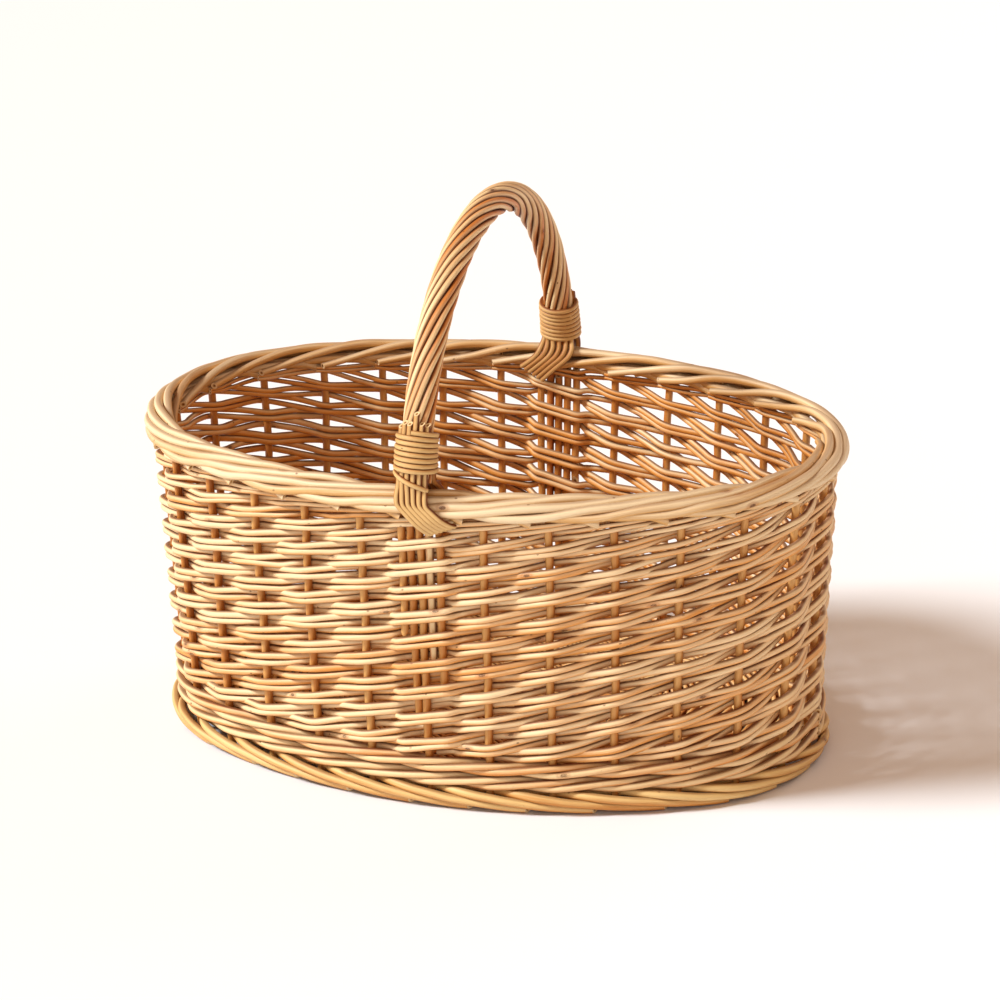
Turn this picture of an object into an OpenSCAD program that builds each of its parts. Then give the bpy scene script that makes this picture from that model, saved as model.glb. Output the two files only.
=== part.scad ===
// Woven willow market basket. An oval body of French slewing stands on upright stakes, between a foot
// border and a rolled rim border, and one fixed hoop handle is wrapped in roping rods.
// Millimetres, +Z up. The origin is the middle of the footprint, on the ground. X is the long way.

/* [Body] */
// Half the length of the stake line, at the ground
oval_a = 208; // [206:0.5:211]
// Half the width of the stake line, at the ground
oval_b = 131; // [129:0.5:134]
// Radius of the two end arcs of the stake line, at the ground
end_r = 102; // [97:1:105]
// Outward lean of the wall, in mm for each mm of height
flare = 0.05; // [0.045:0.001:0.055]
// Height of the body, to the top of the rim border
body_h = 214; // [213:0.5:218]

/* [Rods] */
// Diameter of an upright stake
stake_d = 5.2; // [4.8:0.1:5.4]
// Height of a weaver pair where the weave starts
pair_h = 8.2; // [7.6:0.1:8.3]
// Depth of a weaver pair, from the inside to the outside of the wall
pair_t = 4; // [3.4:0.1:4]
// Diameter of a wale rod
wale_d = 4.2; // [3.6:0.1:4.2]
// Diameter of a handle roping rod
rope_d = 3.9; // [3.4:0.1:3.9]
// Diameter of a rod pushed into the wall beside a handle stake
liner_d = 5; // [4.4:0.1:5]

/* [Borders] */
// Width of the rim border, seen from above
rim_w = 20; // [18:0.5:20]
// Height of the rim border
rim_h = 16; // [14:0.5:16]
// Width of the foot border
foot_w = 8.4; // [7:0.1:8.4]
// Height of the foot border
foot_h = 10; // [8:0.5:11]

/* [Handle] */
// Height of the whole basket, to the top of the hoop
total_h = 360; // [350:1:365]
// Radius of the hoop, at the middle of its bow
hoop_r = 146; // [144:0.5:147]
// Diameter of the bow inside the roping
bow_d = 11; // [11:0.25:13]
// Height of a binding
binding_h = 33; // [26:1:36]
// How far one roping rod turns round the bow from leg to leg, in degrees
rope_turn = 840; // [600:30:870]

/* [Hidden] */
$fn = 48;
STAKES = 28;
PER_QUARTER = STAKES / 4;
BACK_STAKE = 7;
FRONT_STAKE = 21;

// The stake line is a four-centre oval: two end arcs and two side arcs, meeting tangent at the join angle
side_r = (oval_a * oval_a + oval_b * oval_b - 2 * oval_a * end_r) / (2 * (oval_b - end_r));
join = atan2(side_r - oval_b, oval_a - end_r);
end_x = oval_a - end_r;
side_y = side_r - oval_b;
end_len = arc_len(end_r, join);
quarter = end_len + arc_len(side_r, 90 - join);
spacing = quarter / PER_QUARTER;

// Gap left between rods that pass each other
clear = 0.3;

stake_foot = 0.5;
stake_top = body_h - rim_h - 2 * clear;
handle_stake_drop = 6;
handle_stake_top = stake_top - handle_stake_drop;

// Each weaver pair starts outside one stake and passes 19 stakes, climbing half a row at each
WEAVER_STEPS = 18;
weave_start = 40;
climb = 9.2;
climb_loss = 0.041;
pair_loss = 0.07;
pair_clear = 0.4;
weave_out = (stake_d + pair_t) / 2 + pair_clear;
// Half the length a pair lies flat at a stake, or at a handle's group of rods, in stake spacings
stake_flat = 3.1 / spacing;
cluster_flat = 15.3 / spacing;
weaver_end = 0.1;

// Each wale round is three rods, which pass outside two stakes and inside the third
WALE_RODS = 3;
wale_first = 18.5;
wale_rise = 9.6;
wale_in = -(stake_d + wale_d) / 2 - clear;
wale_out = (stake_d + wale_d) / 2 + 2 * clear;
wale_mid = 0.25;
wale_step = 2.6;
wale_gap = 0.12;

rim_out = 12;
rim_bevel = 4.5;
foot_out = 3.8;
foot_bevel = 4;
foot_chamfer = 1;

base_z = 12.8;
base_t = 12.2;
base_inset = 7.9;
stick_d = 5;
stick_gap = 0.2;
stick_cover = 0.8;
stick_short = 4;
stick_inset = base_inset + stick_short;
LONG_STICKS = 7;
long_pitch = 6.8;
long_z = base_z + base_t - stick_d / 2 - stick_cover;
CROSS_STICKS = 9;
cross_pitch = 19.5;
cross_z = base_z + stick_d / 2 + stick_cover;

// The hoop is one arc, a little less than half a circle, standing on the rim border
leg_rise = 4;
leg_z = body_h + leg_rise;
rope_r = (bow_d + rope_d) / 2 + clear;
hoop_z = total_h - rope_r - rope_d / 2 - hoop_r;
hoop_start = asin((leg_z - hoop_z) / hoop_r);
hoop_turn = 180 - 2 * hoop_start;
leg_y = hoop_r * cos(hoop_start);
ROPE_RODS = 12;
ROPE_RINGS = 36;

// Under the hoop the bow is shaved to a neck through the rim border, then a tongue in the wall
neck_d = 8;
neck_gap = 0.5;
neck_foot = handle_stake_top + 1;
neck_join_h = 3;
neck_join_d = 6;
tongue_shift = 5.8;
tongue_foot = 96;
liners = [[-5.8, 62], [11.8, 84], [-11.8, 118]];

binding_r = rope_r + rope_d / 2 + clear;
binding_t = 2.8;
binding_rise = 1.5;

FAN_RODS = 6;
fan_d = 3.4;
fan_pitch = 4.4;
fan_top = leg_z - 0.5;
fan_foot = handle_stake_top + 1;
fan_sweep = 16;

WEAVER_PAIRS = [for (i = [1:STAKES]) str("weaver_pair_", i < 10 ? "0" : "", i)];
WALE_ROUNDS = ["lower", "upper"];
STAKE_SIDES = ["right", "back", "left", "front"];
HANDLE_ENDS = [["front", FRONT_STAKE], ["back", BACK_STAKE]];

willow = "#e3bd83";
willow_dark = "#b9783c";
willow_pale = "#f0d9ab";

function arc_len(r, degrees) = r * degrees * PI / 180;
function degrees_of(len, r) = len / r * 180 / PI;

// Direction that faces out of the wall at a stake number, which may be fractional; stake 0 is at +X
function facing(s) =
    let (q = floor(s / PER_QUARTER), along = (s - q * PER_QUARTER) * spacing,
         d = q % 2 == 0 ? along : quarter - along,
         turn = d < end_len ? degrees_of(d, end_r) : join + degrees_of(d - end_len, side_r))
    q % 2 == 0 ? 90 * q + turn : 90 * (q + 1) - turn;

// Point in the wall: stake number, distance outside the stake line, and height
function wall(s, out, z) =
    let (w = (s + STAKES) % STAKES, t = facing(w), c = cos(t), n = sin(t), o = out + flare * z)
    abs(c) > cos(join) ? [sign(c) * end_x + (end_r + o) * c, (end_r + o) * n, z]
                       : [(side_r + o) * c, (side_r + o) * n - sign(n) * side_y, z];

// A closed solid through a list of rings that all have the same number of points
module through(rings) {
    n = len(rings[0]);
    last = len(rings) - 1;
    skin = [for (i = [0:last - 1]) for (j = [0:n - 1])
        let (a = i * n + j, b = i * n + (j + 1) % n) [a, b, b + n, a + n]];
    caps = [[for (j = [n - 1:-1:0]) j], [for (j = [0:n - 1]) last * n + j]];
    polyhedron(points = [for (r = rings) for (p = r) p], faces = concat(skin, caps), convexity = 8);
}

// Weaving

function is_handle(s) = (s + STAKES) % STAKES == FRONT_STAKE || (s + STAKES) % STAKES == BACK_STAKE;
function flat_half(s) = is_handle(s) ? cluster_flat : stake_flat;
function weaver_z(j) = weave_start + climb * j - climb_loss * j * j;
function weaver_side(j) = j % 2 == 0 ? weave_out : -weave_out;

// The rings of one pair: two at each stake it passes, so that it lies flat against the stake
function weaver_stations(first) = [for (j = [0:WEAVER_STEPS]) for (e = [-1, 1])
    let (half = (j == 0 && e < 0) || (j == WEAVER_STEPS && e > 0) ? weaver_end : flat_half(first + j))
    [j + e * half, weaver_side(j)]];

module weaver_pair(first) {
    color(first % 2 == 0 ? willow : willow_dark)
        through([for (st = weaver_stations(first))
            let (s = first + st[0], z = weaver_z(st[0]), h = (pair_h - pair_loss * st[0]) / 2)
            [wall(s, st[1] - pair_t / 2, z - h), wall(s, st[1] + pair_t / 2, z - h),
             wall(s, st[1] + pair_t / 2, z + h), wall(s, st[1] - pair_t / 2, z + h)]]);
}

// Offset and height of a wale rod at half-stake steps of its three-stake stroke
wale_path = [[wale_in, 0], [wale_mid, -wale_step], [wale_out, -wale_step],
             [wale_out, 0], [wale_out, wale_step], [wale_mid, wale_step]];

module wale_rod(round, rod) {
    z0 = wale_first + wale_rise * round;
    steps = 2 * STAKES;
    color(rod % 2 == 0 ? willow : willow_dark)
        through([for (i = [0:steps])
            let (s = i == 0 ? wale_gap : i == steps ? STAKES - wale_gap : i / 2,
                 at = wale_path[(i + 2 * rod) % len(wale_path)])
            [for (a = [30:60:330]) wall(s, at[0] + wale_d / 2 * cos(a), z0 + at[1] + wale_d / 2 * sin(a))]]);
}

// Stakes

module upright(s, across, low, high, d) {
    t = facing(s);
    foot = wall(s, 0, low);
    lean = atan(flare);
    translate(foot + across * [-sin(t), cos(t), 0])
        rotate([0, lean, t])
            cylinder(d = d, h = (high - low) / cos(lean));
}

module stakes(middle) {
    color(willow)
        for (i = [-3:3]) {
            s = (middle + i + STAKES) % STAKES;
            if (is_handle(s)) upright(s, 0, stake_foot, handle_stake_top, liner_d);
            else upright(s, 0, stake_foot, stake_top, stake_d);
        }
}

// Borders

// A closed ring round the basket whose section's points are distances outside the stake line and heights
module oval_ring(section) {
    n = len(section);
    rings = 2 * STAKES;
    polyhedron(
        points = [for (i = [0:rings - 1]) for (p = section) wall(i / 2, p[0] - flare * p[1], p[1])],
        faces = [for (i = [0:rings - 1]) for (j = [0:n - 1])
            let (a = i * n, b = (i + 1) % rings * n, k = (j + 1) % n) [a + j, a + k, b + k, b + j]],
        convexity = 8
    );
}

module rim_border() {
    x = [rim_out - rim_w / 2, rim_out + rim_w / 2];
    z = [body_h - rim_h, body_h];
    c = rim_bevel;
    color(willow_pale)
        difference() {
            oval_ring([[x[0] + c, z[0]], [x[1] - c, z[0]], [x[1], z[0] + c], [x[1], z[1] - c],
                       [x[1] - c, z[1]], [x[0] + c, z[1]], [x[0], z[1] - c], [x[0], z[0] + c]]);
            for (y = [-leg_y, leg_y])
                translate([0, y, z[0] - 1]) cylinder(d = neck_d + 2 * neck_gap, h = rim_h + 2);
        }
}

module foot_border() {
    x = [foot_out, foot_out + foot_w];
    color(willow_pale)
        oval_ring([[x[0], 0], [x[1] - foot_chamfer, 0], [x[1], foot_chamfer], [x[1], foot_h - foot_bevel],
                   [x[1] - foot_bevel, foot_h], [x[0], foot_h]]);
}

// Base

function flat(p) = [p[0], p[1]];

// How far a stick may reach along Y at a given x, and along X at a given y
function reach_y(x) = abs(x) < end_x + (end_r - stick_inset) * cos(join)
    ? sqrt(pow(side_r - stick_inset, 2) - x * x) - side_y
    : sqrt(pow(end_r - stick_inset, 2) - pow(abs(x) - end_x, 2));
function reach_x(y) = end_x + sqrt(pow(end_r - stick_inset, 2) - y * y);

// Rods from their middle, both ways along X
module long_rods(d) {
    for (i = [0:LONG_STICKS - 1]) {
        y = (i - (LONG_STICKS - 1) / 2) * long_pitch;
        translate([-reach_x(y), y, long_z]) rotate([0, 90, 0]) cylinder(d = d, h = 2 * reach_x(y));
    }
}

module cross_rods(d) {
    for (i = [0:CROSS_STICKS - 1]) {
        x = (i - (CROSS_STICKS - 1) / 2) * cross_pitch;
        translate([x, reach_y(x), cross_z]) rotate([90, 0, 0]) cylinder(d = d, h = 2 * reach_y(x));
    }
}

module base_weave() {
    color(willow)
        difference() {
            translate([0, 0, base_z])
                linear_extrude(base_t)
                    polygon([for (i = [0:2 * STAKES - 1]) flat(wall(i / 2, -base_inset, base_z))]);
            long_rods(stick_d + 2 * stick_gap);
            cross_rods(stick_d + 2 * stick_gap);
        }
}

module base_long_sticks() {
    color(willow_pale) long_rods(stick_d);
}

module base_cross_sticks() {
    color(willow_pale) cross_rods(stick_d);
}

// Handle

// A length of the hoop, turning from +Y towards +Z
module hoop_arc(from, turn) {
    translate([0, 0, hoop_z])
        rotate([90, 0, 90])
            rotate(from)
                rotate_extrude(angle = turn) translate([hoop_r, 0]) children();
}

module rod_between(a, b, d) {
    v = b - a;
    translate(a) rotate([0, acos(v[2] / norm(v)), atan2(v[1], v[0])]) cylinder(d = d, h = norm(v));
}

module handle_bow() {
    color(willow_dark) {
        hoop_arc(hoop_start, hoop_turn) circle(d = bow_d);
        for (end = HANDLE_ENDS) {
            s = end[1];
            side = sin(facing(s));
            tongue = wall(s, 0, neck_foot) - [side * tongue_shift, 0, 0];
            translate([0, side * leg_y, neck_foot]) cylinder(d = neck_d, h = leg_z + 1 - neck_foot);
            hull() {
                translate([0, side * leg_y, neck_foot]) cylinder(d = liner_d, h = neck_join_h, $fn = 24);
                translate(tongue) cylinder(d = neck_join_d, h = neck_join_h, $fn = 24);
            }
            upright(s, tongue_shift, tongue_foot, neck_foot + 1, liner_d);
        }
    }
}

// One roping rod, wound round the bow from the back leg to the front leg
module rope_rod(start) {
    side = [1, 0, 0];
    through([for (i = [0:ROPE_RINGS])
        let (a = hoop_start + hoop_turn * i / ROPE_RINGS, w = start - rope_turn * i / ROPE_RINGS,
             out = [0, cos(a), sin(a)],
             middle = [0, 0, hoop_z] + hoop_r * out + rope_r * (cos(w) * out + sin(w) * side))
        [for (t = [30:60:330]) middle + rope_d / 2 * (cos(t) * out + sin(t) * side)]]);
}

module handle_roping(first) {
    color(first == 0 ? willow : willow_pale)
        for (i = [first:2:ROPE_RODS - 1]) rope_rod(360 * i / ROPE_RODS);
}

module handle_binding(s) {
    start = hoop_start + degrees_of(binding_rise, hoop_r);
    turn = degrees_of(binding_h, hoop_r);
    color(willow_pale)
        rotate(s == BACK_STAKE ? 0 : 180)
            difference() {
                hoop_arc(start, turn) circle(binding_r + binding_t);
                hoop_arc(start - 1, turn + 2) circle(binding_r);
            }
}

// Rods that come down from the binding outside and inside the rim border, swept along the wall
module handle_lashing(s) {
    reach = (rim_w + fan_d) / 2 + clear;
    color(willow_pale)
        rotate(s == BACK_STAKE ? 0 : 180)
            for (face = [reach, -reach], i = [0:FAN_RODS - 1]) {
                x = (i - (FAN_RODS - 1) / 2) * fan_pitch;
                y = oval_b + rim_out + face;
                rod_between([x, y, fan_top], [x - fan_sweep, y, fan_foot], fan_d);
            }
}

module handle_liners(s) {
    color(willow_dark)
        for (liner = liners) upright(s, liner[0], liner[1], stake_top, liner_d);
}

for (i = [0:STAKES - 1]) weaver_pair(i);
for (r = [0:len(WALE_ROUNDS) - 1], i = [1:WALE_RODS])
    wale_rod(r, i - 1);
for (i = [0:len(STAKE_SIDES) - 1])
    stakes(PER_QUARTER * i);
rim_border();
foot_border();
base_weave();
base_long_sticks();
base_cross_sticks();
handle_bow();
handle_roping(0);  // handle_roping_front
handle_roping(1);  // handle_roping_back
for (end = HANDLE_ENDS) {
    handle_binding(end[1]);
    handle_lashing(end[1]);
    handle_liners(end[1]);
}
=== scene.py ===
"""Woven willow market basket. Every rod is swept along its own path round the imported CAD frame.

Lengths and places are millimetres, +Z up, until a piece's mesh is made in metres; the materials and the
room are in metres too. A place in the wall is (stake number, distance outside the stake line, height);
stake 0 is at +X and the numbers rise counter-clockwise from above, with 28 stakes in one turn.
"""

import math

import bpy
import numpy as np
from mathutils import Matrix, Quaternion, Vector


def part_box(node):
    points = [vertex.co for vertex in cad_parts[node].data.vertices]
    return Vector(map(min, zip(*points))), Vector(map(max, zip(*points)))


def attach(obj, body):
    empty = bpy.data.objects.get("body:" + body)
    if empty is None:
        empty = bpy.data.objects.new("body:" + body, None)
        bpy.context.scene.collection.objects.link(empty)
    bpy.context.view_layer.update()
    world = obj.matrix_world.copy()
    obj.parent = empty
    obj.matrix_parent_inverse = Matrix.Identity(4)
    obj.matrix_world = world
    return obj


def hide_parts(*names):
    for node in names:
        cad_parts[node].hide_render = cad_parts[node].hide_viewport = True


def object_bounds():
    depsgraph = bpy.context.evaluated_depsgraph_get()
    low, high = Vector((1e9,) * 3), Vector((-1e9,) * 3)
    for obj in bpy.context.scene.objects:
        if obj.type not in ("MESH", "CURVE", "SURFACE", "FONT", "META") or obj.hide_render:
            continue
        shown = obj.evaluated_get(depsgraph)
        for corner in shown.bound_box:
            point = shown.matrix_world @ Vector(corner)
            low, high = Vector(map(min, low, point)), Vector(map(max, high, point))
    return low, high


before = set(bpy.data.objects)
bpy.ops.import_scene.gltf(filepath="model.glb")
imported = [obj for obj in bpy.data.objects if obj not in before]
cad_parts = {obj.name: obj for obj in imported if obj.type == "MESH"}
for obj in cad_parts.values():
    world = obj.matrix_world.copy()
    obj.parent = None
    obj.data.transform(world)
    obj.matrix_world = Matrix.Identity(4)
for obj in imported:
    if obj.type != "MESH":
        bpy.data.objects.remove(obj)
cad_low, cad_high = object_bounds()

MM = 1000
SEED = 20
rng = np.random.default_rng(SEED)

# ---------------------------------------------------------------- sizes

STAKES = 28
PER_QUARTER = STAKES // 4
BACK_STAKE = PER_QUARTER
LEFT_STAKE = 2 * PER_QUARTER
FRONT_STAKE = 3 * PER_QUARTER
HANDLE_STAKES = (BACK_STAKE, FRONT_STAKE)

rim_low, rim_high = (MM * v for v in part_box("rim_border"))
base_low, base_high = (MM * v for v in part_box("base_weave"))
# The stake line at the ground is an oval of four arcs, and the rim border reaches this far outside it
RIM_REACH = 22
OVAL_A = rim_high.x - RIM_REACH
OVAL_B = rim_high.y - RIM_REACH
END_R = 102
# Outward lean of the wall, in mm for each mm of height
FLARE = 0.05
SIDE_R = (OVAL_A**2 + OVAL_B**2 - 2 * OVAL_A * END_R) / (2 * (OVAL_B - END_R))
JOIN = math.atan2(SIDE_R - OVAL_B, OVAL_A - END_R)
END_X = OVAL_A - END_R
SIDE_Y = SIDE_R - OVAL_B
END_LEN = END_R * JOIN
QUARTER = END_LEN + SIDE_R * (math.pi / 2 - JOIN)
SPACING = QUARTER / PER_QUARTER

HOOP_R = 146
ROPE_ROD_R = 1.95
ROPE_R = 7.75
HOOP_Z = cad_high.z * MM - ROPE_R - ROPE_ROD_R - HOOP_R
# Height at which the hoop's legs start
LEG_Z = rim_high.z + 4
WEAVE_TOP = rim_low.z - 0.6


# ---------------------------------------------------------------- the wall


def facing(s):
    """Direction out of the wall at stake number s, in radians."""
    w = np.mod(s, STAKES)
    q = np.floor(w / PER_QUARTER)
    along = (w - q * PER_QUARTER) * SPACING
    d = np.where(q % 2 == 0, along, QUARTER - along)
    turn = np.where(d < END_LEN, d / END_R, JOIN + (d - END_LEN) / SIDE_R)
    return np.where(q % 2 == 0, q * np.pi / 2 + turn, (q + 1) * np.pi / 2 - turn)


def outward(s):
    """Unit vectors out of the wall."""
    t = facing(np.asarray(s, float))
    return np.stack([np.cos(t), np.sin(t), 0 * t], -1)


def wall(s, out, z):
    """Points in the wall, one row each."""
    s, out, z = np.broadcast_arrays(*(np.asarray(v, float) for v in (s, out, z)))
    t = facing(s)
    c, n, o = np.cos(t), np.sin(t), out + FLARE * z
    end = np.abs(c) > math.cos(JOIN)
    x = np.where(end, np.sign(c) * END_X + (END_R + o) * c, (SIDE_R + o) * c)
    y = np.where(end, (END_R + o) * n, (SIDE_R + o) * n - np.sign(n) * SIDE_Y)
    return np.stack([x, y, z], -1)


# ---------------------------------------------------------------- paths


def blur(values, width):
    """values smoothed by a bell of that width in samples, with both ends held."""
    reach = int(math.ceil(3 * width))
    if width <= 0 or reach >= len(values):
        return values
    bell = np.exp(-0.5 * (np.arange(-reach, reach + 1) / width) ** 2)
    held = np.pad(values, (reach, reach), mode="reflect", reflect_type="odd")
    return np.convolve(held, bell / bell.sum(), mode="valid")


def flow(stations, step, soft):
    """Columns (stake number, out, height, radius) through the stations, with the corners rounded."""
    st = np.array(stations, float)
    n = max(4, int(round((st[-1, 0] - st[0, 0]) / step)) + 1)
    s = np.linspace(st[0, 0], st[-1, 0], n)
    width = soft / (s[1] - s[0])
    return s, *(blur(np.interp(s, st[:, 0], st[:, k]), width) for k in (1, 2, 3))


def curve(points, step, soft):
    """Points every step millimetres along a polyline of rows (x, y, z, radius), with rounded corners."""
    p = np.array(points, float)
    far = np.r_[0, np.cumsum(np.linalg.norm(np.diff(p[:, :3], axis=0), axis=1))]
    n = max(4, int(round(far[-1] / step)) + 1)
    d = np.linspace(0, far[-1], n)
    cols = [blur(np.interp(d, far, p[:, k]), soft / (d[1] - d[0])) for k in range(4)]
    return np.stack(cols[:3], -1), cols[3]


# Wave lengths of a rod's wander, in mm
WAVES = (160, 85, 38)


def wobble(length, size):
    """A slow wander along a rod, as a living rod has: positions along it in mm give offsets in mm."""
    total = np.zeros_like(length)
    for wave in WAVES:
        total += np.sin(length / wave * 2 * np.pi * rng.uniform(0.8, 1.2) + rng.uniform(0, 7)) * wave**0.5
    return size * total / 20


# ---------------------------------------------------------------- rods

# Size of the pith ring as a share of a sawn end, and how far the ring and the middle lie in it, in mm
PITH_SHARE = 0.42
PITH_SUNK = 0.12
MIDDLE_SUNK = 0.3
# The cut attribute on the rim, the pith ring and the middle of a sawn end
CUT_RIM, CUT_PITH, CUT_MIDDLE = 1.0, 1.58, 2.0


class Bundle:
    """Rods that become one piece's mesh, with uv (metres along, share of a turn), tone and cut faces."""

    def __init__(self, sides=10):
        self.sides = sides
        self.verts, self.faces, self.uvs, self.tones, self.cuts = [], [], [], [], []
        self.count = 0

    def _points(self, points, tone, cuts):
        """Add points with their attributes, and give the first one's number."""
        first = self.count
        self.verts.append(points)
        self.tones.append(np.full(len(points), tone))
        self.cuts.append(np.broadcast_to(cuts, (len(points),)))
        self.count += len(points)
        return first

    def _cap(self, ring, inward, tone, flip):
        """A sawn end: a rim, a pith ring and a middle point, each with its own share towards the pith."""
        n = self.sides
        mid = ring.mean(0)
        pith = mid + (ring - mid) * PITH_SHARE + inward * PITH_SUNK
        points = np.vstack([ring, pith, [mid + inward * MIDDLE_SUNK]])
        shares = np.r_[np.full(n, CUT_RIM), np.full(n, CUT_PITH), CUT_MIDDLE]
        a = self._points(points, tone, shares)
        k = np.arange(n)
        j = (k + 1) % n
        outer = np.stack([a + k, a + j, a + n + j, a + n + k], -1)
        inner = np.stack([a + n + k, a + n + j, np.full(n, a + 2 * n)], -1)
        if flip:
            outer, inner = outer[:, ::-1], inner[:, ::-1]
        self.faces += outer.tolist() + inner.tolist()
        self.uvs.append(np.zeros((n * 7, 2)))

    def rod(self, points, radii, refs, tone=None, slants=(0, 0)):
        """One rod round points, with refs as each ring's own outward direction."""
        n = self.sides
        tone = rng.uniform() if tone is None else tone
        along = np.gradient(points, axis=0)
        along /= np.linalg.norm(along, axis=1)[:, None]
        side = np.cross(along, refs)
        side /= np.linalg.norm(side, axis=1)[:, None]
        up = np.cross(side, along)
        turn = np.arange(n) * 2 * np.pi / n
        radii = np.broadcast_to(np.asarray(radii, float), (len(points),))
        c, w = np.cos(turn), np.sin(turn)
        rings = points[:, None] + radii[:, None, None] * (
            c[None, :, None] * up[:, None] + w[None, :, None] * side[:, None]
        )
        for row, slant in ((0, slants[0]), (-1, slants[1])):
            rings[row] += slant * radii[row] * c[:, None] * along[row]
        length = np.r_[0, np.cumsum(np.linalg.norm(np.diff(points, axis=0), axis=1))] / MM
        m = len(points)
        a = self._points(rings.reshape(-1, 3), tone, 0)
        i, k = np.meshgrid(np.arange(m - 1), np.arange(n), indexing="ij")
        j = (k + 1) % n
        quads = np.stack([a + i * n + k, a + (i + 1) * n + k, a + (i + 1) * n + j, a + i * n + j], -1)
        self.faces += quads.reshape(-1, 4).tolist()
        u0, u1 = length[i], length[i + 1]
        v0, v1 = k / n, (k + 1) / n
        uv = np.stack([np.stack(p, -1) for p in ((u0, v0), (u1, v0), (u1, v1), (u0, v1))], -2)
        self.uvs.append(uv.reshape(-1, 2))
        self._cap(rings[0], along[0], tone, flip=False)
        self._cap(rings[-1], -along[-1], tone, flip=True)

    def wall_rod(self, stations, step=0.07, soft=0.07, wander=0.35, **more):
        """One rod along stations in the wall."""
        s, out, z, radius = flow(stations, step, soft)
        length = (s - s[0]) * SPACING
        out = out + wobble(length, wander * 0.5)
        z = z + wobble(length, wander)
        self.rod(wall(s, out, z), radius * (1 + wobble(length, 0.03)), outward(s), **more)

    def free_rod(self, points, ref, step=2.0, soft=3.0, **more):
        """One rod along a polyline in space, with ref as its outward direction."""
        centres, radii = curve(points, step, soft)
        refs = np.broadcast_to(np.asarray(ref, float), centres.shape)
        self.rod(centres, radii, refs, **more)

    def make(self, name, slot, material, *nodes):
        """Make the rods one piece that stands for those CAD nodes."""
        mesh = bpy.data.meshes.new(name)
        mesh.from_pydata((np.vstack(self.verts) / MM).tolist(), [], self.faces)
        uv = mesh.uv_layers.new(name="rod")
        uv.data.foreach_set("uv", np.vstack(self.uvs).ravel())
        for label, rows in (("tone", self.tones), ("cut", self.cuts)):
            values = mesh.attributes.new(label, "FLOAT", "POINT")
            values.data.foreach_set("value", np.concatenate(rows).astype(np.float32))
        mesh.polygons.foreach_set("use_smooth", np.ones(len(mesh.polygons), bool))
        mesh.materials.append(material)
        mesh.update()
        piece = bpy.data.objects.new(name, mesh)
        bpy.context.collection.objects.link(piece)
        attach(piece, "root")
        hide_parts(*nodes)


# ---------------------------------------------------------------- materials

# Colours shared by every willow material, as sRGB hex codes
KNOT = "5a3013"
SPECK = "6b3c18"
# Painted shade: the dark colour laid along each rod's upper and lower sides, where it touches its
# neighbours
CREASE_SHADE = "6c2c06"
SAWN_WOOD = "efd5a4"
PITH_RING = "a8783f"
PITH = "54300f"


def linear(code):
    """An sRGB hex code as a linear colour."""
    values = [int(code[i : i + 2], 16) / 255 for i in (0, 2, 4)]
    return (*(((v + 0.055) / 1.055) ** 2.4 if v > 0.04045 else v / 12.92 for v in values), 1)


class Tree:
    """Short calls for a material's nodes: each takes its inputs and gives its first output."""

    def __init__(self, material):
        material.use_nodes = True
        self.tree = material.node_tree

    def node(self, kind, *inputs, out=0, **settings):
        """A new node: each input is a socket to link, a value to set, or None to leave."""
        n = self.tree.nodes.new(kind)
        for key, value in settings.items():
            setattr(n, key, value)
        for i, value in enumerate(inputs):
            if value is None:
                continue
            if isinstance(value, bpy.types.NodeSocket):
                self.tree.links.new(value, n.inputs[i])
            else:
                n.inputs[i].default_value = value
        return n.outputs[out]

    def math(self, operation, *inputs):
        return self.node("ShaderNodeMath", *inputs, operation=operation)

    def ramp(self, value, low, high):
        """0 below low and 1 above high, with a smooth step between."""
        return self.node(
            "ShaderNodeMapRange", value, low, high, 0.0, 1.0, interpolation_type="SMOOTHSTEP"
        )

    def mix(self, share, a, b):
        """Colour a where share is 0 and colour b where it is 1."""
        n = self.tree.nodes.new("ShaderNodeMix")
        n.data_type = "RGBA"
        for socket, value in ((n.inputs[0], share), (n.inputs[6], a), (n.inputs[7], b)):
            if isinstance(value, bpy.types.NodeSocket):
                self.tree.links.new(value, socket)
            else:
                socket.default_value = value
        return n.outputs[2]

    def noise(self, place, scale, detail, rough):
        n = self.tree.nodes.new("ShaderNodeTexNoise")
        self.tree.links.new(place, n.inputs["Vector"])
        n.inputs["Scale"].default_value = scale
        n.inputs["Detail"].default_value = detail
        n.inputs["Roughness"].default_value = rough
        return n.outputs[0]


def knots(t, u, v, tone, rate, chance, long, wide):
    """Marks on a rod: one place in each 1/rate metres, used by chance, long by wide in metres."""
    cell_at = t.math("ADD", t.math("MULTIPLY", u, rate), t.math("MULTIPLY", tone, 57.0))
    cell = t.math("FLOOR", cell_at)
    white = t.tree.nodes.new("ShaderNodeTexWhiteNoise")
    white.noise_dimensions = "2D"
    t.tree.links.new(t.node("ShaderNodeCombineXYZ", cell, tone, 0.0), white.inputs[0])
    draws = t.tree.nodes.new("ShaderNodeSeparateColor")
    t.tree.links.new(white.outputs["Color"], draws.inputs[0])
    place = t.math("ADD", t.math("MULTIPLY", draws.outputs[0], 0.7), 0.15)
    du = t.math("DIVIDE", t.math("SUBTRACT", t.math("FRACT", cell_at), place), rate * long)
    angle = t.math("MULTIPLY", t.math("SUBTRACT", v, draws.outputs[1]), 2 * math.pi)
    round_off = t.math("SUBTRACT", 1.0, t.math("COSINE", angle))
    dv = t.math("MULTIPLY", round_off, 2 * (0.002 / wide) ** 2)
    far = t.math("SQRT", t.math("ADD", t.math("MULTIPLY", du, du), dv))
    mark = t.math("SUBTRACT", 1.0, t.ramp(far, 0.55, 1.0))
    ring = t.math("SUBTRACT", 1.0, t.ramp(far, 1.2, 2.2))
    used = t.math("LESS_THAN", draws.outputs[2], chance)
    return t.math("MULTIPLY", mark, used), t.math("MULTIPLY", ring, used)


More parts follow.
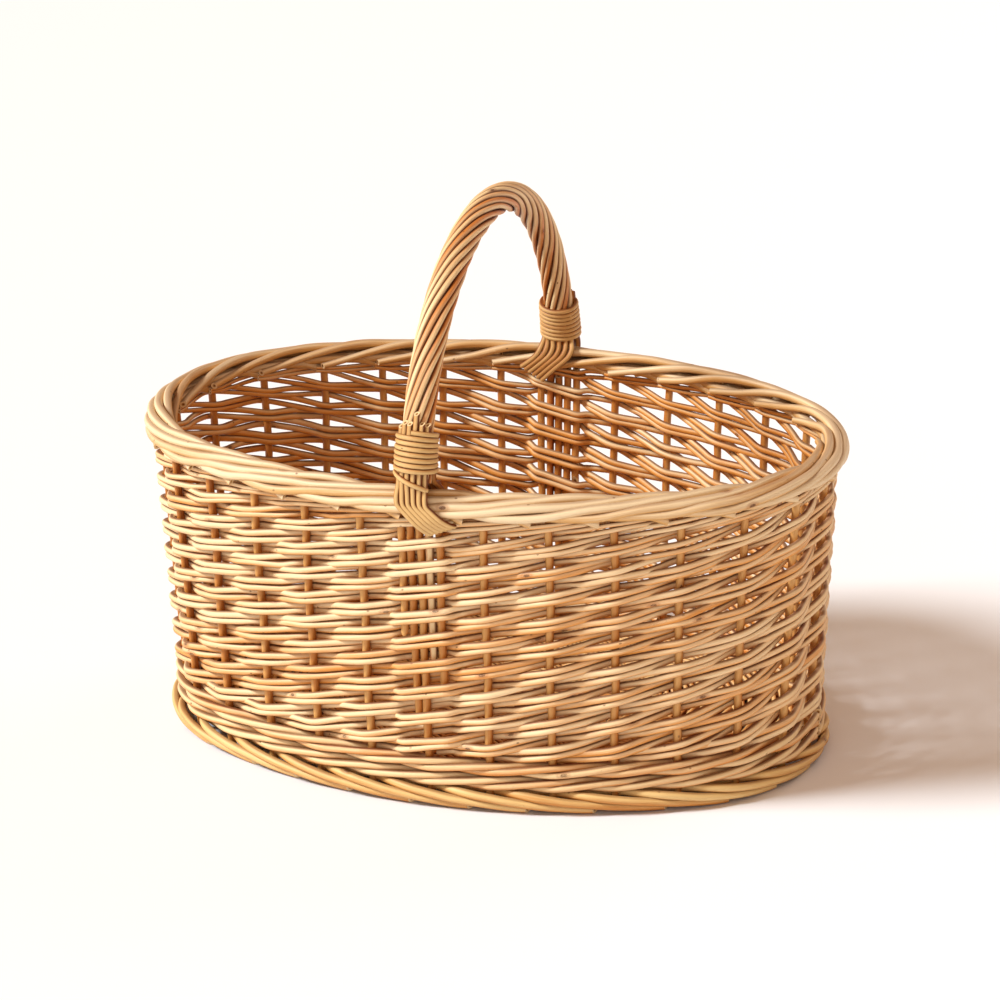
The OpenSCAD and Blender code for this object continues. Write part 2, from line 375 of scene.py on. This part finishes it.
def willow(name, pale, middle, deep, spots=1.0, crease_shade=0.9):
    """Peeled willow: long grain, slow changes of tone, specks, knots, and pale sawn ends with pith, with
    painted light and shade: each rod paler on its outward side and darker underneath, and painted shade
    in the creases where rods touch, as strong as the last argument gives.
    """
    material = bpy.data.materials.new(name)
    t = Tree(material)
    t.tree.nodes.clear()
    uv = t.node("ShaderNodeUVMap", uv_map="rod")
    split = t.tree.nodes.new("ShaderNodeSeparateXYZ")
    t.tree.links.new(uv, split.inputs[0])
    u, v = split.outputs[0], split.outputs[1]
    tone = t.node("ShaderNodeAttribute", attribute_name="tone", out=2)
    cut = t.node("ShaderNodeAttribute", attribute_name="cut", out=2)
    turn = t.math("MULTIPLY", v, 2 * math.pi)
    shift = t.math("ADD", u, t.math("MULTIPLY", tone, 37.0))
    round_x, round_y = t.math("COSINE", turn), t.math("SINE", turn)
    grain_at = t.node(
        "ShaderNodeCombineXYZ",
        t.math("MULTIPLY", round_x, 2.6),
        t.math("MULTIPLY", round_y, 2.6),
        t.math("MULTIPLY", shift, 26.0),
    )
    slow_at = t.node(
        "ShaderNodeCombineXYZ",
        t.math("MULTIPLY", round_x, 0.35),
        t.math("MULTIPLY", round_y, 0.35),
        t.math("MULTIPLY", shift, 11.0),
    )
    grain = t.noise(grain_at, 1.6, 4.0, 0.62)
    slow = t.noise(slow_at, 1.0, 3.0, 0.55)
    # Painted light and shade: each rod's underside is darker and its outward side paler, as light from
    # above and outside would make them
    faces = t.math("SUBTRACT", t.math("MULTIPLY", round_y, 0.25), t.math("MULTIPLY", round_x, 0.1))
    blend = t.math(
        "ADD",
        t.math("ADD", t.math("MULTIPLY", tone, 0.3), faces),
        t.math("ADD", t.math("MULTIPLY", slow, 0.76), t.math("MULTIPLY", grain, 0.5)),
    )
    colour = t.mix(t.ramp(blend, 0.45, 1.0), linear(pale), linear(middle))
    colour = t.mix(t.ramp(blend, 0.95, 1.45), colour, linear(deep))
    speck, speck_ring = knots(t, u, v, tone, 22.0, 0.42 * spots, 0.0011, 0.0006)
    knot, knot_ring = knots(t, u, v, tone, 7.0, 0.5 * spots, 0.0026, 0.0011)
    colour = t.mix(t.math("MULTIPLY", knot_ring, 0.45), colour, linear(deep))
    colour = t.mix(t.math("MULTIPLY", knot, 0.85), colour, linear(KNOT))
    colour = t.mix(t.math("MULTIPLY", speck, 0.75), colour, linear(SPECK))
    # Painted shade: each rod darkened along its upper and lower sides, in the creases where neighbouring
    # rods touch
    beside = t.ramp(t.math("ABSOLUTE", round_y), 0.6, 1.0)
    crease_shade_share = t.math("MULTIPLY", beside, t.math("ADD", 0.45, t.math("MULTIPLY", slow, 0.9)))
    colour = t.mix(t.math("MULTIPLY", crease_shade_share, crease_shade), colour, linear(CREASE_SHADE))
    sawn = t.ramp(cut, 0.4, 0.6)
    end_grain = t.mix(t.ramp(cut, 1.35, 1.7), linear(SAWN_WOOD), linear(PITH_RING))
    end_grain = t.mix(t.ramp(cut, 1.75, 1.95), end_grain, linear(PITH))
    colour = t.mix(sawn, colour, end_grain)
    height = t.math(
        "ADD",
        t.math("MULTIPLY", grain, 0.00035),
        t.math("SUBTRACT", t.math("MULTIPLY", knot_ring, 0.0003), t.math("MULTIPLY", knot, 0.00045)),
    )
    bump = t.tree.nodes.new("ShaderNodeBump")
    bump.inputs["Strength"].default_value = 0.6
    bump.inputs["Distance"].default_value = 1.0
    t.tree.links.new(height, bump.inputs["Height"])
    shader = t.tree.nodes.new("ShaderNodeBsdfPrincipled")
    t.tree.links.new(colour, shader.inputs["Base Color"])
    t.tree.links.new(bump.outputs[0], shader.inputs["Normal"])
    sheen = t.math("ADD", 0.36, t.math("MULTIPLY", grain, 0.24))
    t.tree.links.new(t.math("ADD", sheen, t.math("MULTIPLY", sawn, 0.25)), shader.inputs["Roughness"])
    shader.inputs["Specular IOR Level"].default_value = 0.42
    output = t.tree.nodes.new("ShaderNodeOutputMaterial")
    t.tree.links.new(shader.outputs[0], output.inputs[0])
    return material


# ---------------------------------------------------------------- weave

WEAVER_STEPS = 19
WEAVE_START = 40
# Rise of a weaver from stake to stake, how much less it rises at each, and its rise before the first
CLIMB = 9.2
CLIMB_LOSS = 0.041
FIRST_CLIMB = 5.5
# From this step on a weaver is held down under the rim border, by this much at each step
HELD_FROM = 18
HELD_DOWN = 3.6
# Distance from the stake line to the middle of a weaver of this radius, as it passes a stake
WEAVE_OUT = 4.8
WEAVE_OUT_R = 2.1
# A pair lies this much higher outside a stake, and this much lower inside it
OUTSIDE_LIFT = 0.9
# Steps from the first stake and the radius there
WEAVER_TAPER = ((-1, 2.3), (14, 2.22), (16, 1.95), (18.3, 1.55), (19.2, 1.3))
# Half the straight stretch over one stake, and over a handle stake with its liners, in stake spacings
STAKE_FLAT = 3.1 / SPACING
CLUSTER_FLAT = 15.3 / SPACING


def weaver_z(j):
    """Height of a pair's middle, j stakes on from its first."""
    z = WEAVE_START + (CLIMB - CLIMB_LOSS * j) * j if j >= 0 else WEAVE_START + FIRST_CLIMB * j
    return z - HELD_DOWN * max(0, j - HELD_FROM)


def weaver_stations(first, lift, thin):
    """One rod of a pair that starts inside stake first - 1 and passes 20 stakes, outside and inside."""
    rows = []
    for j in range(-1, WEAVER_STEPS + 1):
        stake = (first + j) % STAKES
        half = CLUSTER_FLAT if stake in HANDLE_STAKES else STAKE_FLAT
        ends = [j - half, j + half]
        if j == -1:
            ends = [-0.9, -1 + half] if half > 0.15 else [-0.97, -1 + half]
        if j == WEAVER_STEPS:
            ends = [j - half, j + max(half, 0.12) + 0.02]
        side = WEAVE_OUT if j % 2 == 0 else -WEAVE_OUT
        if j < WEAVER_STEPS:
            ends.append(j + 0.5)
        for at in ends:
            radius = np.interp(at, *zip(*WEAVER_TAPER)) - thin
            apart = lift * (radius - 0.08)
            if at == j + 0.5:
                rows.append([first + at, 0, weaver_z(at) + apart * 1.15 + rng.normal(0, 0.35), radius])
                continue
            reach = side - math.copysign(WEAVE_OUT_R - radius, side)
            z = weaver_z(at) + math.copysign(OUTSIDE_LIFT, side) + apart
            rows.append([first + at, reach, z, radius])
    return rows


def build_weave(material):
    """28 pairs of rods, each pair a climbing stripe that starts one stake on from the last."""
    for i in range(STAKES):
        pair = Bundle()
        base_tone = rng.uniform(0, 1)
        for lift in (-1, 1):
            tone = np.clip(base_tone * 0.6 + rng.uniform(0, 0.4), 0, 1)
            rows = weaver_stations(i, lift, rng.uniform(-0.06, 0.12))
            pair.wall_rod(rows, step=0.06, soft=0.04, tone=tone, wander=0.5)
        name = f"weaver_pair_{i + 1:02d}"
        pair.make(name + "_rods", "weave_willow", material, name)


# ---------------------------------------------------------------- wale

WALE_R = 2.4
WALE_FIRST = 18.5
WALE_RISE = 9.6
WALE_STEP = 2.5
WALE_END_GAP = 0.06
WALE_IN, WALE_MID, WALE_OUT = -5.0, 0.25, 5.3
# Distance outside the stake line and lift, at every stake and at every half way between
WALE_PATH = (
    (WALE_IN, 0),
    (WALE_MID, -WALE_STEP),
    (WALE_OUT, -WALE_STEP),
    (WALE_OUT, 0),
    (WALE_OUT, WALE_STEP),
    (WALE_MID, WALE_STEP),
)


def wale_stations(level, rod):
    """One of a round's three rods, which passes outside two stakes and inside the next."""
    steps = 2 * STAKES
    rows = []
    for i in range(steps + 1):
        out, lift = WALE_PATH[(i + 2 * rod) % len(WALE_PATH)]
        s = min(max(i / 2, WALE_END_GAP), STAKES - WALE_END_GAP)
        rows.append([s, out, WALE_FIRST + WALE_RISE * level + lift, WALE_R])
    return rows


def build_wale(material):
    """Two rounds of three rods that hold the foot of the weave together."""
    for level, label in enumerate(("lower", "upper")):
        for rod in range(3):
            one = Bundle()
            one.wall_rod(wale_stations(level, rod), soft=0.14, wander=0.3)
            name = f"wale_{label}_rod_{rod + 1}"
            one.make(name + "_swept", "wale_willow", material, name)


# ---------------------------------------------------------------- stakes

STAKE_R = 2.6
# How much shorter the two handle stakes are
HANDLE_STAKE_DROP = 6


def upright(bundle, s, across, low, high, radius, cut=0.2):
    """A rod that stands in the wall, moved across along the wall."""
    z = np.linspace(low, high, max(4, int((high - low) / 5)))
    length = z - z[0]
    s_at = s + (across + wobble(length, 0.5)) / SPACING
    points = wall(s_at, wobble(length, 0.3), z)
    taper = np.linspace(radius * 1.03, radius * 0.97, len(z))
    bundle.rod(points, taper, outward(s_at), slants=(cut, 0.5))


def build_stakes(material):
    """The upright stakes, in four groups by side."""
    sides = ((0, "right"), (BACK_STAKE, "back"), (LEFT_STAKE, "left"), (FRONT_STAKE, "front"))
    for middle, label in sides:
        group = Bundle()
        for k in range(middle - 3, middle + 4):
            s = k % STAKES
            top = WEAVE_TOP - (HANDLE_STAKE_DROP if s in HANDLE_STAKES else 0)
            upright(group, s, 0, 1.0 + rng.uniform(0, 2), top, STAKE_R)
        group.make(f"stakes_{label}_rods", "stake_willow", material, f"stakes_{label}")


# ---------------------------------------------------------------- borders

# Stakes passed, distance outside the stake line, height and radius of a rim rod, from its own stake on
RIM_PATH = (
    (0.0, 0.0, 194.0, 2.7),
    (0.25, -0.6, 200.0, 2.8),
    (0.9, -3.6, 201.6, 2.9),
    (1.35, -0.8, 201.4, 2.8),
    (1.7, 4.0, 201.2, 2.8),
    (2.0, 7.8, 200.6, 2.8),
    (2.4, 9.0, 200.3, 2.8),
    (2.75, 9.0, 200.9, 2.8),
    (3.4, 8.2, 205.0, 2.8),
    (4.08, 6.2, 206.8, 2.9),
    (4.7, 3.0, 208.6, 2.85),
    (5.2, 0.2, 210.0, 2.8),
    (5.65, -2.8, 210.2, 2.7),
    (6.1, -5.2, 207.4, 2.5),
    (6.6, -6.9, 203.0, 2.3),
    (7.1, -7.2, 199.6, 2.15),
)
# The same for the cut rod end that shows outside under the border, before each stake
STUB_PATH = (
    (-0.95, 1.0, 203.0, 2.6),
    (-0.62, 3.6, 201.5, 2.6),
    (-0.42, 6.0, 198.8, 2.6),
    (-0.24, 7.6, 196.3, 2.6),
)


def build_rim(material):
    """The rim border: every stake's top laid over, behind, in front and down inside."""
    rim = Bundle(sides=12)
    for k in range(STAKES):
        end = rng.uniform(-0.08, 0.05)
        rows = [
            [k + s + (end if s > 6.5 else 0), out, z, r + rng.uniform(-0.05, 0.08)]
            for s, out, z, r in RIM_PATH
        ]
        rim.wall_rod(rows, step=0.06, soft=0.16, wander=0.6, slants=(0, 0.4))
        drift = rng.uniform(-0.06, 0.04)
        rows = [[k + s + drift, out, z, r] for s, out, z, r in STUB_PATH]
        rim.wall_rod(rows, step=0.05, soft=0.06, wander=0.2, slants=(0, 0.5))
    rim.make("rim_border_rods", "border_willow", material, "rim_border")


# The same for a foot rod, from its own peg on
FOOT_PATH = (
    (0.0, 0.0, 13.5, 2.5),
    (0.3, -1.8, 12.0, 2.6),
    (0.95, -3.2, 11.4, 2.7),
    (1.2, 0.8, 11.6, 2.75),
    (1.42, 5.6, 12.4, 2.75),
    (1.75, 8.7, 11.4, 2.75),
    (2.3, 9.2, 8.4, 2.7),
    (2.9, 8.2, 5.4, 2.6),
    (3.45, 6.5, 3.1, 2.45),
    (3.7, 6.0, 2.7, 2.4),
)


def build_foot(material):
    """The foot border, on which the basket stands."""
    foot = Bundle(sides=12)
    for k in range(STAKES):
        tip = rng.uniform(-0.1, 0.12)
        rows = [
            [k + s + (tip if s > 3 else 0), out, z, r + rng.uniform(-0.05, 0.05)]
            for s, out, z, r in FOOT_PATH
        ]
        foot.wall_rod(rows, step=0.05, soft=0.09, wander=0.25, slants=(0, -0.8))
    foot.make("foot_border_rods", "border_willow", material, "foot_border")


# ---------------------------------------------------------------- base

STICK_R = 2.5
CROSS_STICKS = 9
CROSS_PITCH = 19.5
LONG_STICKS = 7
LONG_PITCH = 6.8
LONG_Z = base_high.z - STICK_R - 0.8
CROSS_Z = base_low.z + STICK_R + 0.8
SPOKE_Z = (base_low.z + base_high.z) / 2
# The long sticks run side by side to here and then spread by this angle each
FAN_X = 86
FAN_ANGLE = math.radians(22.5)
# Where the weave starts outside the crossing: past a long stick's bend, and from the middle line
LONG_START = 4
CROSS_START = 25.0
# The weave and the sticks end this far inside the stake line
BASE_INSET = 7.8
BASE_ROUNDS = 21
BASE_ROD_R = 1.75
# How far the base's rods pass over and under a stick, and how far they lie apart as they cross
TWINE_LIFT = 3.9
TWINE_APART = 1.3

edge = wall(np.linspace(0, STAKES, 1121), -BASE_INSET, SPOKE_Z)[:, :2]


def to_edge(start, angle):
    """Where a stick from start, in that direction from above, meets the edge of the base."""
    way = np.array([math.cos(angle), math.sin(angle)])
    rest = edge - start
    ahead = rest @ way
    aside = np.abs(rest @ np.array([-way[1], way[0]]))
    return edge[np.argmin(np.where(ahead > 0, aside, 1e6))]


def spokes():
    """Inner and outer points of every stick end in turn, counter-clockwise from the right end."""
    right, top = [], []
    for i in range(LONG_STICKS):
        place = i - (LONG_STICKS - 1) / 2
        start = np.array([FAN_X, place * LONG_PITCH])
        angle = place * FAN_ANGLE
        inner = start + LONG_START * np.array([math.cos(angle), math.sin(angle)])
        right.append((inner, to_edge(start, angle)))
    for i in range(CROSS_STICKS):
        x = ((CROSS_STICKS - 1) / 2 - i) * CROSS_PITCH
        top.append((np.array([x, CROSS_START]), to_edge(np.array([x, 0.0]), math.pi / 2)))
    return right + top + [(-a, -b) for a, b in right + top]


def round_loop(values, place):
    """Values in a closed loop read at fractional places, along a smooth curve through all of them."""
    n = len(values)
    i = np.floor(place).astype(int)
    t = (place - i)[:, None]
    p = [values[(i + k) % n] for k in (-1, 0, 1, 2)]
    slope_0, slope_1 = (p[2] - p[0]) / 2, (p[3] - p[1]) / 2
    a = 2 * p[1] - 2 * p[2] + slope_0 + slope_1
    b = -3 * p[1] + 3 * p[2] - 2 * slope_0 - slope_1
    return ((a * t + b) * t + slope_0) * t + p[1]


def build_sticks(material, ends):
    """The long and cross sticks, laid across each other and bent level outside the crossing."""
    right = ends[:LONG_STICKS]
    top = ends[LONG_STICKS : LONG_STICKS + CROSS_STICKS]
    long_sticks, cross_sticks = Bundle(12), Bundle(12)
    for i, (_, outer) in enumerate(right):
        y = (i - (LONG_STICKS - 1) / 2) * LONG_PITCH
        other = -right[LONG_STICKS - 1 - i][1]
        rows = [
            (*other, SPOKE_Z, STICK_R * 0.9),
            (-FAN_X - 8, y - (y - other[1]) * 0.08, LONG_Z - 1, STICK_R),
            (-FAN_X, y, LONG_Z, STICK_R),
            (FAN_X, y, LONG_Z, STICK_R),
            (FAN_X + 8, y + (outer[1] - y) * 0.08, LONG_Z - 1, STICK_R),
            (*outer, SPOKE_Z, STICK_R * 0.9),
        ]
        long_sticks.free_rod(rows, (0, 0, 1), step=3, soft=5)
    for _, outer in top:
        x, y = outer
        rows = [
            (x, -y, SPOKE_Z, STICK_R * 0.95),
            (x, -32, SPOKE_Z - 0.6, STICK_R),
            (x, -24, CROSS_Z, STICK_R),
            (x, 24, CROSS_Z, STICK_R),
            (x, 32, SPOKE_Z - 0.6, STICK_R),
            (x, y, SPOKE_Z, STICK_R * 0.95),
        ]
        cross_sticks.free_rod(rows, (0, 0, 1), step=4, soft=5)
    long_sticks.make("base_long_sticks_rods", "base_willow", material, "base_long_sticks")
    cross_sticks.make("base_cross_sticks_rods", "base_willow", material, "base_cross_sticks")


def build_base(material):
    """Sticks crossed in the middle and spread at both ends, with two rods twined round and round them."""
    ends = spokes()
    build_sticks(material, ends)
    inner = np.array([a for a, _ in ends])
    outer = np.array([b for _, b in ends])
    place = np.linspace(0, BASE_ROUNDS * len(ends), BASE_ROUNDS * len(ends) * 5 + 1)
    share = place / place[-1]
    low_p, high_p = round_loop(inner, place), round_loop(outer, place)
    way = high_p - low_p
    reach = np.linalg.norm(way, axis=1)
    twined = Bundle(sides=8)
    for start in (0, math.pi):
        turn = math.pi * place + start
        far = reach * share + TWINE_APART * np.sin(turn)
        xy = low_p + way * (far / reach)[:, None]
        z = SPOKE_Z + TWINE_LIFT * np.cos(turn) + wobble(place * 8, 0.25)
        points = np.column_stack([xy, z])
        twined.rod(points, BASE_ROD_R, np.broadcast_to((0.0, 0.0, 1.0), points.shape))
    twined.make("base_weave_rods", "base_willow", material, "base_weave")


# ---------------------------------------------------------------- handle

HOOP_START = math.asin((LEG_Z - HOOP_Z) / HOOP_R)
LEG_Y = HOOP_R * math.cos(HOOP_START)
ROPE_TURN = math.radians(840)
ROPE_RODS = 12
BOW_R = 5.5
# The bow's shaved end goes down this far beside the handle stake, to this height
TONGUE_ASIDE = 5.8
TONGUE_FOOT = 96
# Distance along the wall from the handle stake and the foot's height, of each liner
LINERS = ((-5.8, 62), (11.8, 84), (-11.8, 118))
LINER_R = 2.5


def hoop(angle, radial, side):
    """Points round the hoop, from the back leg at 0 to the front leg at pi."""
    out = np.stack([0 * angle, np.cos(angle), np.sin(angle)], -1)
    across = np.array([1.0, 0, 0])
    centre = np.array([0, 0, HOOP_Z])
    return centre + (HOOP_R + radial)[..., None] * out + np.asarray(side)[..., None] * across


def from_bow(points, angle):
    """Directions from the bow's middle line to points beside it."""
    return points - hoop(angle, 0 * angle, 0 * angle)


def turned(points, label):
    """Points made for the back leg, or turned half round for the front leg."""
    return points * ((1, 1, 1) if label == "back" else (-1, -1, 1))


def build_bow(material):
    """The thick rod of the hoop, and its shaved ends in the wall."""
    bow = Bundle(sides=14)
    angle = np.linspace(HOOP_START, math.pi - HOOP_START, 90)
    out = np.stack([0 * angle, np.cos(angle), np.sin(angle)], -1)
    bow.rod(hoop(angle, 0 * angle, 0 * angle), BOW_R, out)
    for label in ("back", "front"):
        neck = [LEG_Z + 2, LEG_Z - 4, rim_low.z + 6, WEAVE_TOP - 6, WEAVE_TOP - 14]
        z = np.array([*neck, TONGUE_FOOT + 8, TONGUE_FOOT])
        radii = [5.4, 4.4, 3.9, 2.8, 2.6, 2.4, 2.0]
        y = np.where(z > rim_low.z, LEG_Y, OVAL_B + FLARE * z)
        x = np.where(z > rim_low.z, 0, -TONGUE_ASIDE)
        rows = np.column_stack([turned(np.column_stack([x, y, z]), label), radii])
        bow.free_rod(rows, turned(np.array([0, 1, 0]), label), soft=3, slants=(0, 1.6))
    bow.make("handle_bow_rod", "handle_willow", material, "handle_bow")


def build_liners(material):
    """Rods pushed into the wall beside the handle stakes."""
    for s, label in zip(HANDLE_STAKES, ("back", "front")):
        group = Bundle(12)
        for across, foot in LINERS:
            upright(group, s, across, foot, WEAVE_TOP, LINER_R, cut=-1.8)
        group.make(f"handle_liners_{label}_rods", "stake_willow", material, f"handle_liners_{label}")


def build_roping(material):
    """The rods wound side by side round the bow."""
    for first, label in ((0, "front"), (1, "back")):
        ropes = Bundle()
        for i in range(first, ROPE_RODS, 2):
            a = np.linspace(HOOP_START, math.pi - HOOP_START, 190)
            length = (a - a[0]) * HOOP_R
            share = (a - a[0]) / (a[-1] - a[0])
            w = i * 2 * math.pi / ROPE_RODS - ROPE_TURN * share + wobble(length, 0.05)
            radial = ROPE_R + wobble(length, 0.12)
            points = hoop(a, radial * np.cos(w), radial * np.sin(w))
            ropes.rod(points, ROPE_ROD_R * (1 + wobble(length, 0.03)), from_bow(points, a))
        ropes.make(f"handle_roping_{label}_rods", "handle_willow", material, f"handle_roping_{label}")


# Height of a binding's foot above the start of the leg
BINDING_RISE = {"back": 1.2, "front": 6.0}
BINDING_H = 24.5
WRAPS = 8.0
WRAP_R = 1.65
# Distance of the binding's rod from the bow's middle line at the foot, how much less it is at the top,
# and how far the whole binding sits off the bow's middle line
WRAP_REACH = 12.3
WRAP_CLOSER = 0.7
WRAP_OFF = 0.5
# The lowest round slants down across the fan between these angles in radians, by this many rises
LAST_FROM, LAST_TO = 1.2, -0.95
LAST_DROP = 1.4
# Distance of the fans' rods from the bow's middle line, under the binding
UNDER_R = 10.8
FAN_RODS = 6
FAN_ROD_R = 1.75


def build_binding(material):
    """A rod wound round the foot of each leg, with its lowest round laid across the fan."""
    for label in ("back", "front"):
        wraps = Bundle(12)
        w = np.linspace(LAST_TO, WRAPS * 2 * math.pi, int(WRAPS * 28))
        share = np.clip(w / w[-1], 0, 1)
        last = np.clip((LAST_FROM - w) / (LAST_FROM - LAST_TO), 0, 1) ** 1.3
        a = HOOP_START + (BINDING_RISE[label] * (1 - LAST_DROP * last) + BINDING_H * share) / HOOP_R
        radial = WRAP_REACH - WRAP_CLOSER * share + wobble(w * 12, 0.15)
        points = hoop(a, radial * np.cos(w) + WRAP_OFF, radial * np.sin(w))
        refs = turned(from_bow(points, a), label)
        wraps.rod(turned(points, label), WRAP_R, refs, tone=0.15)
        wraps.make(f"handle_binding_{label}_wraps", "handle_willow", material, f"handle_binding_{label}")


def under_binding(turn, top):
    """Rows of a rod under the binding, from its upper end, at that turn round the hoop."""
    up = np.array([top, top * 0.6, top * 0.2, 0.0])
    a = HOOP_START + up / HOOP_R
    radial = np.full(4, UNDER_R)
    points = hoop(a, radial * math.cos(turn), radial * math.sin(turn))
    return [(*p, FAN_ROD_R) for p in points]


def outer_fan(group, label):
    """Rods that come down outside the rim border, bend aside together and tuck in under it."""
    face = OVAL_B + RIM_REACH + FAN_ROD_R
    for i in range(FAN_RODS):
        place = i - (FAN_RODS - 1) / 2
        x = place * 3.6
        top = BINDING_H + BINDING_RISE[label] + rng.uniform(2.5, 6) + (5 if i == 2 else 0)
        rows = under_binding(place * math.radians(20), top)
        end = -15.5 + place * 2.9
        rows += [
            (x, face + 0.4, rim_high.z - 1, FAN_ROD_R),
            (x, face + 0.8, rim_high.z - 7.5, FAN_ROD_R),
            (x * 0.35 + end * 0.65, face, rim_high.z - 17.5 - place * 0.8, FAN_ROD_R),
            (end, face - 3, rim_high.z - 22.5 - place * 1.2, FAN_ROD_R),
            (end - 2, face - 8, rim_high.z - 24.5 - place * 1.2, FAN_ROD_R * 0.9),
        ]
        rows = [(*turned(np.array(r[:3]), label), r[3]) for r in rows]
        out = turned(np.array([0.2, 1, 0.1]), label)
        group.free_rod(rows, out, step=1.5, soft=1.8, slants=(0.8, 0), tone=0.2)


def inner_fan(group, label):
    """Rods that come down inside the rim border and end there, swept aside, with cut ends."""
    face = OVAL_B + FLARE * rim_low.z - 8.5
    for i in range(FAN_RODS):
        place = i - (FAN_RODS - 1) / 2
        top = BINDING_RISE[label] + BINDING_H * rng.uniform(0.5, 0.8)
        rows = under_binding(math.pi - place * math.radians(23), top)
        x = place * 4.4 + 1.5
        end = -14 + place * 2.8
        low = rim_low.z + 1 - i * 1.7
        rows += [
            (x - 0.5, face + 0.6, rim_high.z - 1, FAN_ROD_R),
            (x - 2.5, face - 1.6, rim_high.z - 6, FAN_ROD_R),
            (x * 0.35 + end * 0.65, face - 1.4, (rim_high.z + low) / 2 - 3, FAN_ROD_R),
            (end - 2, face - 0.6, low, FAN_ROD_R * 0.95),
        ]
        rows = [(*turned(np.array(r[:3]), label), r[3]) for r in rows]
        out = turned(np.array([0.2, -1, 0.1]), label)
        group.free_rod(rows, out, step=1.5, soft=2.4, slants=(0.6, 0.5))


def build_lashing(material):
    """The fans of rods that hold each leg to the rim border, outside and inside."""
    for label in ("back", "front"):
        group = Bundle(12)
        outer_fan(group, label)
        inner_fan(group, label)
        group.make(f"handle_lashing_{label}_rods", "handle_willow", material, f"handle_lashing_{label}")


# ---------------------------------------------------------------- the room

CAMERA_AZIMUTH = math.radians(18.76)
CAMERA_ELEVATION = math.radians(20.84)
CAMERA_DISTANCE = 2.5663
CAMERA_TARGET = Vector((0, 0, 0.15))
CAMERA_ROLL = math.radians(0.97)
LIGHT_TARGET = Vector((0, 0, 0.12))
FLOOR_REACH = 6.0


def build_camera():
    """The photograph's own view, with a long lens."""
    data = bpy.data.cameras.new("camera")
    data.lens = 144.02
    data.sensor_width = 36
    data.shift_x = 0.0064
    data.shift_y = 0.005
    camera = bpy.data.objects.new("camera", data)
    bpy.context.collection.objects.link(camera)
    flat = math.cos(CAMERA_ELEVATION)
    back = Vector(
        (math.sin(CAMERA_AZIMUTH) * flat, -math.cos(CAMERA_AZIMUTH) * flat, math.sin(CAMERA_ELEVATION))
    )
    camera.location = CAMERA_TARGET + back * CAMERA_DISTANCE
    camera.rotation_mode = "QUATERNION"
    level = (-back).to_track_quat("-Z", "Y")
    camera.rotation_quaternion = level @ Quaternion((0, 0, 1), -CAMERA_ROLL)
    bpy.context.scene.camera = camera


def build_light(name, place, size, watts):
    """A square soft light that faces the basket."""
    data = bpy.data.lights.new(name, "AREA")
    data.size = size
    data.energy = watts
    light = bpy.data.objects.new(name, data)
    bpy.context.collection.objects.link(light)
    light.location = place
    light.rotation_mode = "QUATERNION"
    light.rotation_quaternion = (LIGHT_TARGET - Vector(place)).to_track_quat("-Z", "Y")


def build_sun(name, away, strength, angle, colour):
    """A sun from that direction, which the angle gives soft shadow edges."""
    data = bpy.data.lights.new(name, "SUN")
    data.energy = strength
    data.angle = angle
    data.color = colour
    light = bpy.data.objects.new(name, data)
    bpy.context.collection.objects.link(light)
    light.rotation_mode = "QUATERNION"
    light.rotation_quaternion = (-Vector(away)).to_track_quat("-Z", "Y")


def build_room():
    """A warm world, a pale floor, a key light and two soft fills."""
    world = bpy.data.worlds.new("studio")
    world.use_nodes = True
    world.node_tree.nodes["Background"].inputs[0].default_value = (1.0, 0.57, 0.31, 1)
    world.node_tree.nodes["Background"].inputs[1].default_value = 0.45
    bpy.context.scene.world = world
    mesh = bpy.data.meshes.new("floor")
    corners = [(x * FLOOR_REACH, y * FLOOR_REACH, 0) for x, y in ((-1, -1), (1, -1), (1, 1), (-1, 1))]
    mesh.from_pydata(corners, [], [(0, 1, 2, 3)])
    paper = bpy.data.materials.new("floor_paper")
    paper.use_nodes = True
    shader = paper.node_tree.nodes["Principled BSDF"]
    shader.inputs["Base Color"].default_value = (0.87, 0.93, 1.0, 1)
    shader.inputs["Roughness"].default_value = 0.9
    mesh.materials.append(paper)
    floor = bpy.data.objects.new("floor", mesh)
    bpy.context.collection.objects.link(floor)
    build_sun("key", (-1.1, -0.6, 1.15), 3.65, math.radians(16), (1.0, 0.99, 0.97))
    build_light("front", (0.3, -2.2, 0.9), 1.4, 7)
    build_light("back", (1.4, 1.9, 1.6), 1.6, 10)


# ---------------------------------------------------------------- build

WEAVE = willow("weave_willow", "f5ddb0", "e19943", "ab5919")
WALE = willow("wale_willow", "efd5a3", "d98e40", "a25417")
STAKE = willow("stake_willow", "dfae68", "c67f34", "944d16", spots=0.6, crease_shade=0.3)
BORDER = willow("border_willow", "eedab3", "d6a560", "ab6525", spots=1.3, crease_shade=0.55)
# Painted shade: the foot's willow is a darker copy of the border's, for the shade low down by the floor
FOOT = willow("foot_willow", "e9c988", "cb8a3e", "95501a", crease_shade=0.6)
BASE = willow("base_willow", "e8c484", "d18b41", "a25620")
HANDLE = willow("handle_willow", "f3daa8", "d2843c", "984814")
BINDING = willow("binding_willow", "dfbc7e", "bb7e3d", "854818", crease_shade=1.0)

build_weave(WEAVE)
build_wale(WALE)
build_stakes(STAKE)
build_rim(BORDER)
build_foot(FOOT)
build_base(BASE)
build_bow(HANDLE)
build_liners(STAKE)
build_roping(HANDLE)
build_binding(BINDING)
build_lashing(BINDING)
build_room()
build_camera()

bpy.context.scene.view_settings.view_transform = "Standard"
